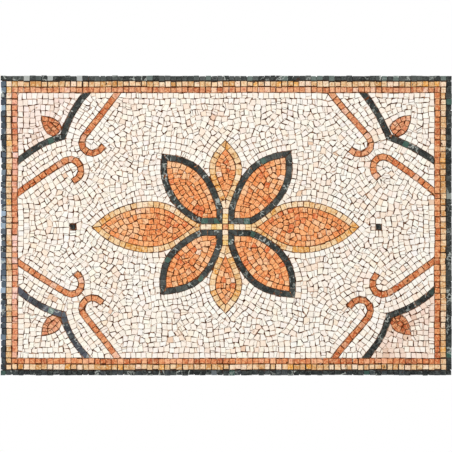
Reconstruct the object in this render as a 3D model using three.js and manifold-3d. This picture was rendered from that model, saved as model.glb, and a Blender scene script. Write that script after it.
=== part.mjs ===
// Marble mosaic wall panel: a rosette of outlined petals in a pale ground, with hooks, corner
// brackets, leaves and three border rows, all of tesserae laid on a thin bed.
// Millimetres, +Z up. The back of the bed is at Y = 0 and the face of the stones looks along -Y.
import * as THREE from 'three';
import { mergeVertices } from 'three/addons/utils/BufferGeometryUtils.js';
import Module from 'manifold-3d';

const wasm = await Module();
wasm.setup();

// Panel
const panelWidth = 800;
const panelHeight = 532;
const bedThickness = 2;
const bedInset = 2;
const stoneThickness = 8;

// Tesserae
const rowsAlongWidth = 77;
const rowsAlongHeight = 51;
const pitch = panelWidth / rowsAlongWidth;
const jointWidth = 0.6;
const jointDepth = 3;
const grooveWidth = 0.9;
const tessera = pitch - jointWidth;
const stripWidth = 10.2;

// Field inside the three border rows
const borderRows = 3;
const fieldHalfWidth = panelWidth / 2 - borderRows * pitch;
const fieldHalfHeight = panelHeight / 2 - borderRows * pitch;
const smallestBody = 100;
const smallestEdge = 0.2;

// Rosette
const rosetteCentre = new THREE.Vector2(-1, -2.7);
const stemHalfWidth = tessera / 2;
const stemReachX = 44.8;
const stemReachZ = 33;
const petalTips = {
  upper_left: new THREE.Vector2(112, 129.5),
  upper_right: new THREE.Vector2(115.5, 135),
  lower_left: new THREE.Vector2(114, 120),
  lower_right: new THREE.Vector2(121.5, 126),
};
const petalSide = 1.4 * pitch;
// Curve handles of a petal's two edges, as shares of its tip's distances
const petalSideHandles = [new THREE.Vector2(0.81, 0.22), new THREE.Vector2(1.1, 0.5)];
const petalEndHandles = [new THREE.Vector2(0.22, 0.77), new THREE.Vector2(0.47, 0.96)];

// Long petals to left and right, short ones to top and bottom, half outlines along their axis
const longPetalBelly = new THREE.Vector2(134, 45.2);
const longPetalTip = 236.4;
const longPetalRootHandle = new THREE.Vector2(75.2, 25.5);
const longPetalBellyHandle = 39;
const longPetalTipHandle = new THREE.Vector2(212, 27);
const shortPetalTip = 153;
const shortPetalRootHandle = new THREE.Vector2(89.5, 25.3);
const shortPetalTipHandle = new THREE.Vector2(106.4, 48.7);

// Hooks: a leg from the border into a curl. Each was laid by hand and differs a little: its root
// moved along the border, its curl moved across and up from the centre, and its end drawn on.
const curlRadius = 18;
const curlOpening = 3.5;
const legHandleLength = 22;
const endHook = {
  root: new THREE.Vector2(192, fieldHalfHeight),
  legHeading: THREE.MathUtils.degToRad(-56),
  curlCentre: new THREE.Vector2(238.3, 146.3),
  curlStart: THREE.MathUtils.degToRad(36),
  curlSweep: THREE.MathUtils.degToRad(-187),
};
const endHookChanges = {
  upper_left: { root: 0, curl: [0, 0], drawnOn: 14 },
  upper_right: { root: -6, curl: [0, -1.5], drawnOn: 0 },
  lower_left: { root: 0, curl: [0, 0], drawnOn: 0 },
  lower_right: { root: 0, curl: [0, 3], drawnOn: 14 },
};
const sideHook = {
  root: new THREE.Vector2(fieldHalfWidth, 60),
  legHeading: THREE.MathUtils.degToRad(143),
  curlCentre: new THREE.Vector2(275.2, 104.3),
  curlStart: THREE.MathUtils.degToRad(60),
  curlSweep: THREE.MathUtils.degToRad(189),
};
const sideHookChanges = {
  upper_left: { root: -3, curl: [0, -4.5], drawnOn: 12 },
  upper_right: { root: 0, curl: [3, 0], drawnOn: 0 },
  lower_left: { root: 5, curl: [-1, 0], drawnOn: 0 },
  lower_right: { root: 2, curl: [2.5, 0.5], drawnOn: -8 },
};

// Corner brackets and the leaf that springs from each
const bracketTopEnd = new THREE.Vector2(246.9, fieldHalfHeight);
const bracketVertex = new THREE.Vector2(288.7, 156.7);
const bracketSideEnd = new THREE.Vector2(fieldHalfWidth, 114.2);
const bracketBow = 5.7;
const bracketChanges = {
  upper_left: { topEnd: 0, vertex: [0, 0], bow: 0 },
  upper_right: { topEnd: -4.5, vertex: [0, 0], bow: -2.5 },
  lower_left: { topEnd: -1, vertex: [0, 1], bow: 0 },
  lower_right: { topEnd: 0, vertex: [0, 3], bow: 0 },
};
const leafBase = new THREE.Vector2(296.4, 163.4);
const leafLength = 43.5;
const leafHalfWidth = 14.4;
const leafHeading = Math.PI / 4;

// Single dark tesserae to left and right of the long petals
const dotReachX = 271;
const dotSize = 10.2;

const quadrants = {
  upper_left: [-1, 1],
  upper_right: [1, 1],
  lower_left: [-1, -1],
  lower_right: [1, -1],
};

function stoneMaterial(color, roughness) {
  return new THREE.MeshStandardMaterial({ color, roughness, metalness: 0 });
}

const greenMarble = () => stoneMaterial(0x3f4f4c, 0.45);
const yellowMarble = () => stoneMaterial(0xe1b46e, 0.5);
const orangeMarble = () => stoneMaterial(0xd9784f, 0.5);
const creamMarble = () => stoneMaterial(0xf3e6da, 0.5);
const beddingMortar = () => stoneMaterial(0x7d6a58, 0.9);

const panel = new THREE.Group();

function addPiece(name, geometry, material) {
  const mesh = new THREE.Mesh(geometry, material);
  mesh.name = name;
  panel.add(mesh);
}

// Plane outlines, counter-clockwise lists of points in X and Z

function along(origin, heading, distance) {
  return new THREE.Vector2(
    origin.x + Math.cos(heading) * distance,
    origin.y + Math.sin(heading) * distance,
  );
}

// The straight sides of a curve are one tessera long
function curvePoints(curve, side = pitch) {
  return curve.getSpacedPoints(Math.max(2, Math.round(curve.getLength() / side)));
}

function mirrored(points, [signX, signZ], centre = new THREE.Vector2()) {
  const moved = points.map((p) => new THREE.Vector2(centre.x + signX * p.x, centre.y + signZ * p.y));
  return signX * signZ < 0 ? moved.reverse() : moved;
}

function shiftedEdge(from, to, distance) {
  const direction = to.clone().sub(from).normalize();
  const outward = new THREE.Vector2(direction.y, -direction.x);
  return { origin: from.clone().addScaledVector(outward, distance), direction };
}

function crossing(first, second) {
  const turn = first.direction.cross(second.direction);
  if (Math.abs(turn) < 1e-4) return second.origin.clone();
  const between = second.origin.clone().sub(first.origin);
  return first.origin.clone().addScaledVector(first.direction, between.cross(second.direction) / turn);
}

function distanceToOutline(place, points) {
  let least = Infinity;
  points.forEach((from, i) => {
    const to = points[(i + 1) % points.length];
    const edge = to.clone().sub(from);
    const share = place.clone().sub(from).dot(edge) / edge.lengthSq();
    const nearest = from.clone().addScaledVector(edge, THREE.MathUtils.clamp(share, 0, 1));
    least = Math.min(least, nearest.distanceTo(place));
  });
  return least;
}

// Moves every edge outward, or inward for a negative distance, and drops the edges that vanish
function outset(points, distance) {
  const count = points.length;
  const lines = points.map((from, i) => shiftedEdge(from, points[(i + 1) % count], distance));
  const corners = points.map((_, i) => crossing(lines[(i + count - 1) % count], lines[i]));
  const clear = corners.map((c) => distance > 0 || distanceToOutline(c, points) > -distance - 0.02);
  const moved = [];
  corners.forEach((corner, i) => {
    if (!clear[i]) return;
    moved.push(corner);
    let next = i + 1;
    while (!clear[next % count]) next += 1;
    if (next > i + 1) moved.push(crossing(lines[i], lines[(next - 1) % count]));
  });
  return moved.filter((p, i) => p.distanceTo(moved[(i + 1) % moved.length]) > smallestEdge);
}

// The outline of a strip of stones along a centre line
function stripOutline(centreLine, width) {
  const side = (distance) => centreLine.map((p, i) => {
    const before = centreLine[Math.max(i - 1, 0)];
    const after = centreLine[Math.min(i + 1, centreLine.length - 1)];
    if (before === p) return shiftedEdge(p, after, distance).origin;
    if (after === p) return shiftedEdge(before, p, distance).origin.add(p).sub(before);
    return crossing(shiftedEdge(before, p, distance), shiftedEdge(p, after, distance));
  });
  return [...side(width / 2), ...side(-width / 2).reverse()];
}

function rectangle(left, right, bottom, top) {
  return [
    new THREE.Vector2(left, bottom),
    new THREE.Vector2(right, bottom),
    new THREE.Vector2(right, top),
    new THREE.Vector2(left, top),
  ];
}

// Solids

// Extrudes an outline towards the viewer, from a depth behind the face of the wall
function slab(outline, thickness = stoneThickness, start = bedThickness, hole = null) {
  const shape = new THREE.Shape(outline);
  if (hole) shape.holes.push(new THREE.Path(hole));
  const geometry = new THREE.ExtrudeGeometry(shape, { depth: thickness, bevelEnabled: false });
  geometry.rotateX(Math.PI / 2);
  geometry.translate(0, -start, 0);
  return geometry;
}

function toSolid(geometry) {
  const bare = geometry.clone();
  bare.deleteAttribute('normal');
  bare.deleteAttribute('uv');
  const merged = mergeVertices(bare, 1e-4);
  return new wasm.Manifold(new wasm.Mesh({
    numProp: 3,
    vertProperties: new Float32Array(merged.attributes.position.array),
    triVerts: new Uint32Array(merged.index.array),
  }));
}

function toGeometry(solid) {
  const mesh = solid.getMesh();
  const geometry = new THREE.BufferGeometry();
  geometry.setAttribute('position', new THREE.BufferAttribute(mesh.vertProperties, 3));
  geometry.setIndex(new THREE.BufferAttribute(mesh.triVerts, 1));
  geometry.computeVertexNormals();
  return geometry;
}

// A cutter reaches past both faces of the stones
function cutter(outline) {
  return toSolid(slab(outset(outline, jointWidth), stoneThickness + 2, bedThickness - 1));
}

const fieldOutline = rectangle(-fieldHalfWidth, fieldHalfWidth, -fieldHalfHeight, fieldHalfHeight);
const fieldSolid = toSolid(slab(fieldOutline));

// Bed

addPiece('backing_bed', slab(rectangle(
  -panelWidth / 2 + bedInset,
  panelWidth / 2 - bedInset,
  -panelHeight / 2 + bedInset,
  panelHeight / 2 - bedInset,
), bedThickness, 0), beddingMortar());

// Border rows

// A row along X, with its back at Y = 0: V joints on the face part the tesserae
function tesseraRow(length, count) {
  const profile = new THREE.Shape();
  profile.moveTo(0, 0);
  profile.lineTo(length, 0);
  profile.lineTo(length, stoneThickness);
  for (let joint = count - 1; joint > 0; joint -= 1) {
    const middle = (length * joint) / count;
    profile.lineTo(middle + grooveWidth / 2, stoneThickness);
    profile.lineTo(middle, stoneThickness - jointDepth);
    profile.lineTo(middle - grooveWidth / 2, stoneThickness);
  }
  profile.lineTo(0, stoneThickness);
  return new THREE.ExtrudeGeometry(profile, { depth: tessera, bevelEnabled: false });
}

const uprightBasis = new THREE.Matrix4().makeBasis(
  new THREE.Vector3(0, 0, 1),
  new THREE.Vector3(0, -1, 0),
  new THREE.Vector3(1, 0, 0),
);

function addBorderRing(color, ring, material, jointed) {
  const halfWidth = panelWidth / 2 - ring * pitch;
  const halfHeight = panelHeight / 2 - ring * pitch;
  const sideHeight = 2 * (halfHeight - pitch);
  for (const side of ['top', 'bottom']) {
    const count = jointed ? rowsAlongWidth - 2 * ring : 1;
    const row = tesseraRow(2 * halfWidth, count);
    row.rotateX(Math.PI);
    row.translate(-halfWidth, -bedThickness, side === 'top' ? halfHeight : tessera - halfHeight);
    addPiece(`border_${color}_${side}`, row, material());
  }
  for (const side of ['left', 'right']) {
    const count = jointed ? rowsAlongHeight - 2 * ring - 2 : 1;
    const row = tesseraRow(sideHeight, count);
    row.applyMatrix4(uprightBasis);
    row.translate(side === 'left' ? -halfWidth : halfWidth - tessera, -bedThickness, -sideHeight / 2);
    addPiece(`border_${color}_${side}`, row, material());
  }
}

addBorderRing('green', 0, greenMarble, true);
addBorderRing('yellow', 1, yellowMarble, false);
addBorderRing('orange', 2, orangeMarble, false);

// Outlines that the ground is cut around
const groundCuts = [];

// Rosette

function petalOutline(tip) {
  const edge = stemHalfWidth + jointWidth;
  const [sideStart, sideEnd] = petalSideHandles.map((share) => share.clone().multiply(tip));
  const [endStart, endEnd] = petalEndHandles.map((share) => share.clone().multiply(tip));
  const side = new THREE.CubicBezierCurve(new THREE.Vector2(stemReachX, edge), sideStart, sideEnd, tip);
  const end = new THREE.CubicBezierCurve(tip, endEnd, endStart, new THREE.Vector2(edge, stemReachZ));
  const outer = [...curvePoints(side, petalSide), ...curvePoints(end, petalSide).slice(1)];
  return [new THREE.Vector2(edge, edge), ...outer];
}

// A petal on an axis, from its half outline as distance along the axis and half width
function axisPetalOutline(curves) {
  const half = curves.flatMap((curve, i) => curvePoints(curve, petalSide).slice(i === 0 ? 0 : 1));
  const otherHalf = half.slice(0, -1).reverse().map((p) => new THREE.Vector2(p.x, -p.y));
  return [...half, ...otherHalf].reverse();
}

function longPetalOutline() {
  const root = new THREE.Vector2(stemReachX + jointWidth, stemHalfWidth);
  const bellyIn = longPetalBelly.clone().sub(new THREE.Vector2(longPetalBellyHandle, 0));
  const bellyOut = longPetalBelly.clone().add(new THREE.Vector2(longPetalBellyHandle, 0));
  const tip = new THREE.Vector2(longPetalTip, 0);
  return axisPetalOutline([
    new THREE.CubicBezierCurve(root, longPetalRootHandle, bellyIn, longPetalBelly),
    new THREE.CubicBezierCurve(longPetalBelly, bellyOut, longPetalTipHandle, tip),
  ]);
}

function shortPetalOutline() {
  const root = new THREE.Vector2(stemReachZ + jointWidth, stemHalfWidth);
  const tip = new THREE.Vector2(shortPetalTip, 0);
  return axisPetalOutline([
    new THREE.CubicBezierCurve(root, shortPetalRootHandle, shortPetalTipHandle, tip),
  ]);
}

const petalCutters = [];
for (const [corner, signs] of Object.entries(quadrants)) {
  const outline = mirrored(petalOutline(petalTips[corner]), signs, rosetteCentre);
  addPiece(
    `petal_outline_${corner}`,
    slab(outline, stoneThickness, bedThickness, outset(outline, -stripWidth)),
    greenMarble(),
  );
  addPiece(`petal_fill_${corner}`, slab(outset(outline, -stripWidth - jointWidth)), orangeMarble());
  petalCutters.push(cutter(outline));
  groundCuts.push(outline);
}

function addAxisPetal(kind, side, outline) {
  let ring = toSolid(slab(outline, stoneThickness, bedThickness, outset(outline, -stripWidth)));
  petalCutters.forEach((petal) => {
    ring = ring.subtract(petal);
  });
  addPiece(`${kind}_petal_outline_${side}`, toGeometry(ring), yellowMarble());
  addPiece(
    `${kind}_petal_fill_${side}`,
    slab(outset(outline, -stripWidth - jointWidth)),
    orangeMarble(),
  );
  groundCuts.push(outline);
}

const longPetal = longPetalOutline();
const shortPetal = shortPetalOutline().map((p) => new THREE.Vector2(p.y, p.x)).reverse();
addAxisPetal('long', 'left', mirrored(longPetal, [-1, 1], rosetteCentre));
addAxisPetal('long', 'right', mirrored(longPetal, [1, 1], rosetteCentre));
addAxisPetal('short', 'top', mirrored(shortPetal, [1, 1], rosetteCentre));
addAxisPetal('short', 'bottom', mirrored(shortPetal, [1, -1], rosetteCentre));

const centreEdge = stemHalfWidth + jointWidth;
const sideStem = rectangle(centreEdge, stemReachX, -stemHalfWidth, stemHalfWidth);
const uprightStem = rectangle(-stemHalfWidth, stemHalfWidth, centreEdge, stemReachZ);
const stems = {
  left: mirrored(sideStem, [-1, 1], rosetteCentre),
  right: mirrored(sideStem, [1, 1], rosetteCentre),
  top: mirrored(uprightStem, [1, 1], rosetteCentre),
  bottom: mirrored(uprightStem, [1, -1], rosetteCentre),
};
for (const [side, outline] of Object.entries(stems)) {
  addPiece(`stem_${side}`, slab(outline), yellowMarble());
  groundCuts.push(outline);
}

const centreOutline = mirrored(
  rectangle(-stemHalfWidth, stemHalfWidth, -stemHalfWidth, stemHalfWidth),
  [1, 1],
  rosetteCentre,
);
addPiece('centre_tessera', slab(centreOutline), orangeMarble());
groundCuts.push(centreOutline);

// Hooks, brackets and leaves, in the upper right quadrant and mirrored to the others

function changedHook(hook, { root, curl, drawnOn }) {
  const alongBorder = hook === endHook ? new THREE.Vector2(root, 0) : new THREE.Vector2(0, root);
  return {
    ...hook,
    root: hook.root.clone().add(alongBorder),
    curlCentre: hook.curlCentre.clone().add(new THREE.Vector2(...curl)),
    curlSweep: hook.curlSweep + Math.sign(hook.curlSweep) * THREE.MathUtils.degToRad(drawnOn),
  };
}

function hookCentreLine({ root, legHeading, curlCentre, curlStart, curlSweep }) {
  const turnSign = Math.sign(curlSweep);
  const curlJoin = along(curlCentre, curlStart, curlRadius);
  const joinHeading = curlStart + (turnSign * Math.PI) / 2;
  const leg = new THREE.CubicBezierCurve(
    root,
    along(root, legHeading, legHandleLength),
    along(curlJoin, joinHeading, -legHandleLength),
    curlJoin,
  );
  const steps = Math.round((Math.abs(curlSweep) * curlRadius) / pitch);
  const curl = [];
  for (let step = 1; step <= steps; step += 1) {
    const share = step / steps;
    curl.push(along(curlCentre, curlStart + curlSweep * share, curlRadius + curlOpening * share ** 4));
  }
  return [along(root, legHeading, -2 * pitch), ...curvePoints(leg), ...curl];
}

function bowed(from, to, bow) {
  const middle = from.clone().add(to).multiplyScalar(0.5);
  const away = shiftedEdge(from, to, 1).direction;
  middle.addScaledVector(new THREE.Vector2(away.y, -away.x), -2 * bow);
  return new THREE.QuadraticBezierCurve(from, middle, to);
}

function bracketCentreLine(corner) {
  const change = bracketChanges[corner];
  const topEnd = bracketTopEnd.clone().add(new THREE.Vector2(change.topEnd, 0));
  const vertex = bracketVertex.clone().add(new THREE.Vector2(...change.vertex));
  const upper = curvePoints(bowed(topEnd, vertex, bracketBow + change.bow));
  const side = curvePoints(bowed(vertex, bracketSideEnd, bracketBow + change.bow));
  const topHeading = upper[0].clone().sub(upper[1]).angle();
  const sideHeading = side[side.length - 1].clone().sub(side[side.length - 2]).angle();
  return [
    along(upper[0], topHeading, 2 * pitch),
    ...upper,
    ...side.slice(1),
    along(side[side.length - 1], sideHeading, 2 * pitch),
  ];
}

function leafOutline() {
  const half = new THREE.CubicBezierCurve(
    new THREE.Vector2(leafLength, 0),
    new THREE.Vector2(leafLength * 0.56, leafHalfWidth * 1.3),
    new THREE.Vector2(-leafLength * 0.05, leafHalfWidth * 1.38),
    new THREE.Vector2(0, 0),
  );
  const upperHalf = curvePoints(half);
  const lowerHalf = upperHalf.slice(1, -1).reverse().map((p) => new THREE.Vector2(p.x, -p.y));
  return [...upperHalf, ...lowerHalf].map(
    (p) => p.rotateAround(new THREE.Vector2(), leafHeading).add(leafBase),
  );
}

function addFieldStrip(name, outline, material) {
  const strip = toSolid(slab(outline)).intersect(fieldSolid);
  addPiece(name, toGeometry(strip), material());
  groundCuts.push(outline);
}

const leaf = leafOutline();

for (const [corner, signs] of Object.entries(quadrants)) {
  const [height, side] = corner.split('_');
  const end = height === 'upper' ? 'top' : 'bottom';
  const endCurve = hookCentreLine(changedHook(endHook, endHookChanges[corner]));
  const sideCurve = hookCentreLine(changedHook(sideHook, sideHookChanges[corner]));
  const endOutline = mirrored(stripOutline(endCurve, stripWidth), signs);
  const sideOutline = mirrored(stripOutline(sideCurve, stripWidth), signs);
  const bracketOutline = mirrored(stripOutline(bracketCentreLine(corner), stripWidth), signs);
  addFieldStrip(`hook_${end}_${side}`, endOutline, orangeMarble);
  addFieldStrip(`hook_${side}_${height}`, sideOutline, orangeMarble);
  addFieldStrip(`bracket_${corner}`, bracketOutline, greenMarble);
  const leafHere = mirrored(leaf, signs);
  const leafSolid = toSolid(slab(leafHere)).subtract(cutter(bracketOutline));
  addPiece(`leaf_${corner}`, toGeometry(leafSolid), orangeMarble());
  groundCuts.push(leafHere);
}

// Dots

for (const [side, sign] of [['left', -1], ['right', 1]]) {
  const middle = rosetteCentre.x + sign * dotReachX;
  const outline = rectangle(
    middle - dotSize / 2,
    middle + dotSize / 2,
    rosetteCentre.y - dotSize / 2,
    rosetteCentre.y + dotSize / 2,
  );
  addPiece(`dot_${side}`, slab(outline), greenMarble());
  groundCuts.push(outline);
}

// Ground: the brackets part the four corners from the field

let ground = fieldSolid;
groundCuts.forEach((outline) => {
  ground = ground.subtract(cutter(outline));
});
const groundBodies = ground.decompose()
  .filter((body) => body.volume() > smallestBody)
  .sort((a, b) => b.volume() - a.volume());
addPiece('ground_field', toGeometry(groundBodies[0]), creamMarble());
groundBodies.slice(1).forEach((body) => {
  const { min, max } = body.boundingBox();
  const height = min[2] + max[2] > 0 ? 'upper' : 'lower';
  const side = min[0] + max[0] > 0 ? 'right' : 'left';
  addPiece(`ground_corner_${height}_${side}`, toGeometry(body), creamMarble());
});

export default panel;
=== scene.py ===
"""The marble mosaic panel's looks: every tessera is its own stone, laid inside the outlines of the model's
solids, with mortar in the joints and a fibre mesh on the back. Metres, X right, Z up, face along -Y."""
import math

import bpy
import numpy as np
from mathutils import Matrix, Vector


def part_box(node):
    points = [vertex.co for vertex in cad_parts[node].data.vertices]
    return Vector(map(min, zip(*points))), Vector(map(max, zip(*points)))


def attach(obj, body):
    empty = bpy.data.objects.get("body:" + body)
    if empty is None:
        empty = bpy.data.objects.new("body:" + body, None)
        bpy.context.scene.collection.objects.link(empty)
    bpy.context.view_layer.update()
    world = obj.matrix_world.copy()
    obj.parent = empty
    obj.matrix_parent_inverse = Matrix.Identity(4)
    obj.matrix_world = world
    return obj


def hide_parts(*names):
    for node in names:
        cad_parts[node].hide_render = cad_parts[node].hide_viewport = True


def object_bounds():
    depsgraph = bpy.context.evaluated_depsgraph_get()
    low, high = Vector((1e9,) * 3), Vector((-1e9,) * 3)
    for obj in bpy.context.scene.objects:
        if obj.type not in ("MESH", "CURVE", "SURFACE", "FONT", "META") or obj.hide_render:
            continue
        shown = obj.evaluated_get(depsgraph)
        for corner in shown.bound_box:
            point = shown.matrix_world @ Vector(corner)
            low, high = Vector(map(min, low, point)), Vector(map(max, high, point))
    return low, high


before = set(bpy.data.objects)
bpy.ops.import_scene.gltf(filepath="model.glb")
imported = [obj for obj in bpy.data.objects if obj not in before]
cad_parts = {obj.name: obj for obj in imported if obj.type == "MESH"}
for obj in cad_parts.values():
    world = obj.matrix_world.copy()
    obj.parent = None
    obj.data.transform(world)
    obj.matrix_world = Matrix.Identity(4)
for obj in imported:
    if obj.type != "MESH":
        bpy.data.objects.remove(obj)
cad_low, cad_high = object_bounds()

# Tesserae
PITCH = 0.0104
HOOK_PITCH = 0.0116
GROUND_PITCH = 0.0094
BIG_FILL_PITCH = 0.0098
SMALL_FILL_PITCH = 0.0092
LEAF_PITCH = 0.0085
EDGE_ROUND = 0.0005
RECESS = 0.0003
TILT = 0.02
SMALLEST_SHARE = 0.1
SMALLEST_GAP_STONE = 6e-6
SMALLEST_CUT = 0.00017
SHORTEST_EDGE = 0.0005
SOILED_FROM = 0.0009

# Unevenness
SWAY = 0.0005
SWAY_SCALE = 0.11
SOIL_SCALE = 0.014

# Layers, as places along Y
FACE = cad_low.y
BED_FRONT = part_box("backing_bed")[0].y
BED_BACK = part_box("backing_bed")[1].y
MORTAR_DEPTH = 0.0016
MORTAR_INSET = 0.0035
MORTAR_CELL = 0.0035
FLUSH_SHARE = 0.7
BED_SKIN = 0.0003
MESH_PITCH = 0.0095
STRAND_WIDTH = 0.0017
STRAND_THICKNESS = 0.0004
STRAND_STEP = 0.012

# Layout
CELL = 0.0008
RELAX_ROUNDS = 9
SAME_PLACE = 1e-5
SHORTEST_CROSSING = 5e-5
SAMPLE_STEP = 0.0005
MITRE_LIMIT = 0.4
TIP_TURN = math.radians(20)
SNAP_TURN = math.radians(32)
SHARP_TURN = math.radians(35)
SQUARE_TURN = math.radians(60)
MOST_SKEW = 0.16

rng = np.random.default_rng(7)

FIELD_LOW, FIELD_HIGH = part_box("ground_field")


# Plane geometry: points are in X and Z, outlines run counter-clockwise and holes clockwise


def face_loops(node):
    """The outlines of a node's front face."""
    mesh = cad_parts[node].data
    places = np.array([v.co[:] for v in mesh.vertices])
    front = places[:, 1].min()
    edges = {}
    for polygon in mesh.polygons:
        corners = places[list(polygon.vertices)]
        if np.ptp(corners[:, 1]) > SAME_PLACE or corners[0, 1] > front + SAME_PLACE:
            continue
        keys = [(round(x * 1e6), round(z * 1e6)) for x, _, z in corners]
        for here, after in edges_of(keys):
            if (after, here) in edges:
                del edges[(after, here)]
            else:
                edges[(here, after)] = True
    following = dict(edges.keys())
    loops = []
    while following:
        here, after = following.popitem()
        loop = [here]
        while after != loop[0]:
            loop.append(after)
            after = following.pop(after)
        loops.append(np.array(loop) / 1e6)
    return sorted(loops, key=lambda loop: -signed_area(loop))


def edges_of(polygon):
    return zip(polygon, polygon[1:] + polygon[:1])


def signed_area(points):
    x, z = points[:, 0], points[:, 1]
    return 0.5 * float(np.sum(x * np.roll(z, -1) - np.roll(x, -1) * z))


def unit(vectors):
    return vectors / np.maximum(np.linalg.norm(vectors, axis=-1, keepdims=True), 1e-12)


def outward(edges):
    """Unit normals to the right of edges."""
    return unit(np.stack([edges[..., 1], -edges[..., 0]], axis=-1))


def shifted_line(points, distance, closed=False):
    """A line moved to its right, with mitred corners."""
    if closed:
        after = outward(np.roll(points, -1, axis=0) - points)
        before = np.roll(after, 1, axis=0)
    else:
        steps = outward(np.diff(points, axis=0))
        after = np.vstack([steps, steps[-1:]])
        before = np.vstack([steps[:1], steps])
    middle = unit(before + after)
    reach = np.maximum(np.sum(middle * after, axis=1), MITRE_LIMIT)
    return points + middle * (distance / reach)[:, None]


def turns(points):
    """How far a closed outline turns at each of its points."""
    into = points - np.roll(points, 1, axis=0)
    out = np.roll(points, -1, axis=0) - points
    cross = into[:, 0] * out[:, 1] - into[:, 1] * out[:, 0]
    return np.arctan2(cross, np.sum(into * out, axis=1))


def lengths_along(line):
    return np.concatenate([[0.0], np.cumsum(np.linalg.norm(np.diff(line, axis=0), axis=1))])


def at_length(line, where):
    """Places and headings at distances along a line."""
    run = lengths_along(line)
    where = np.clip(where, 0, run[-1] - 1e-9)
    places = np.stack([np.interp(where, run, line[:, k]) for k in (0, 1)], axis=1)
    step = np.clip(np.searchsorted(run, where, side="right") - 1, 0, len(line) - 2)
    direction = line[step + 1] - line[step]
    return places, np.arctan2(direction[:, 1], direction[:, 0])


def wall_segments(loops):
    starts = np.concatenate(loops)
    ends = np.concatenate([np.roll(loop, -1, axis=0) for loop in loops])
    return starts, ends


def wall_distances(places, starts, ends):
    """Distance from each place to each wall segment."""
    edge = ends - starts
    length = np.sum(edge * edge, axis=1)
    away = places[:, None, :] - starts[None]
    share = np.clip(np.sum(away * edge[None], axis=2) / length, 0, 1)
    return np.linalg.norm(away - share[..., None] * edge[None], axis=2)


def inside(places, starts, ends):
    """Which places lie inside the walls, by counting crossings to the right."""
    z = places[:, None, 1]
    crossed = (starts[None, :, 1] > z) != (ends[None, :, 1] > z)
    rise = ends[:, 1] - starts[:, 1]
    slope = (ends[:, 0] - starts[:, 0]) / np.where(rise == 0, 1, rise)
    x = starts[None, :, 0] + (z - starts[None, :, 1]) * slope[None]
    return np.sum(crossed & (x > places[:, None, 0]), axis=1) % 2 == 1


def smooth_noise(places, scale, seed):
    """A soft random field between about -1 and 1."""
    waves = np.random.default_rng(seed)
    total = np.zeros(len(places))
    for _ in range(6):
        angle = waves.uniform(0, 2 * math.pi)
        stride = 2 * math.pi / (scale * waves.uniform(0.7, 1.6))
        along = places[:, 0] * math.cos(angle) + places[:, 1] * math.sin(angle)
        total += np.sin(along * stride + waves.uniform(0, 2 * math.pi))
    return total / 3


def soil(places):
    """From 0, where mortar is flush and clean, to 1, where a joint is deep and dirty."""
    return np.clip(0.5 + 0.9 * smooth_noise(places, SOIL_SCALE, 31), 0, 1)


# Where the stones of a run go: places and headings


def spaced(line, pitch, skip_start=0.0, skip_end=0.0):
    """Places at about one pitch from each other along a line."""
    usable = lengths_along(line)[-1] - skip_start - skip_end
    count = max(1, round(usable / pitch))
    step = usable / count
    where = skip_start + (np.arange(count) + 0.5) * step
    drift = rng.uniform(-0.05, 0.05, count) * step
    return at_length(line, where + drift)


def row_sites(loops):
    """A straight row, along its longer side."""
    low, high = loops[0].min(axis=0), loops[0].max(axis=0)
    middle = (low + high) / 2
    half = (high - low) / 2
    along = np.array([half[0], 0.0]) if half[0] > half[1] else np.array([0.0, half[1]])
    return spaced(np.array([middle - along, middle + along]), PITCH)


def ring_sites(loops):
    """A closed outline, with a mitre at each sharp corner."""
    hole = loops[1][::-1]
    width = np.median(wall_distances(hole, *wall_segments(loops[:1])).min(axis=1))
    middle = shifted_line(hole, width / 2, closed=True)
    corners = np.flatnonzero(np.abs(turns(hole)) > SHARP_TURN)
    places, headings = [], []
    for first, last in zip(corners, np.append(corners[1:], corners[0] + len(hole))):
        chain = middle[np.arange(first, last + 1) % len(hole)]
        chain_places, chain_headings = spaced(chain, PITCH)
        places.append(chain_places)
        headings.append(chain_headings)
    return np.concatenate(places), np.concatenate(headings)


def end_edges(loop):
    """The two short edges that close a strip: on the border, or square at both corners."""
    after = np.roll(loop, -1, axis=0)
    on_border = np.zeros(len(loop), bool)
    for axis, low, high in ((0, FIELD_LOW.x, FIELD_HIGH.x), (1, FIELD_LOW.z, FIELD_HIGH.z)):
        for line in (low, high):
            at_line = np.abs(loop[:, axis] - line) < SAME_PLACE
            on_border |= at_line & (np.abs(after[:, axis] - line) < SAME_PLACE)
    square = np.abs(turns(loop)) > SQUARE_TURN
    return np.flatnonzero(on_border | (square & np.roll(square, -1)))[:2]


def hook_sites(loops):
    return strip_sites(loops, HOOK_PITCH)


def strip_sites(loops, pitch=PITCH):
    """An open strip, along a line half its width inside one side."""
    loop = loops[0]
    first, second = end_edges(loop)
    side = loop[first + 1:second + 1]
    other = np.roll(loop, -second - 1, axis=0)[:len(loop) - len(side)]
    middle_step = len(side) // 2
    centre = (side[middle_step - 1:middle_step] + side[middle_step:middle_step + 1]) / 2
    width = wall_distances(centre, other[:-1], other[1:]).min()
    middle = shifted_line(side, -width / 2)
    ends = unit(np.array([middle[0] - middle[1], middle[-1] - middle[-2]])) * 2 * PITCH
    middle = np.vstack([middle[:1] + ends[:1], middle, middle[-1:] + ends[1:]])
    total = lengths_along(middle)[-1]
    samples = np.arange(0, total, SAMPLE_STEP)
    within = samples[inside(at_length(middle, samples)[0], *wall_segments(loops))]
    return spaced(middle, pitch, within[0], total - within[-1])


def single_site(loops):
    return loops[0].mean(axis=0)[None], np.zeros(1)


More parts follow.
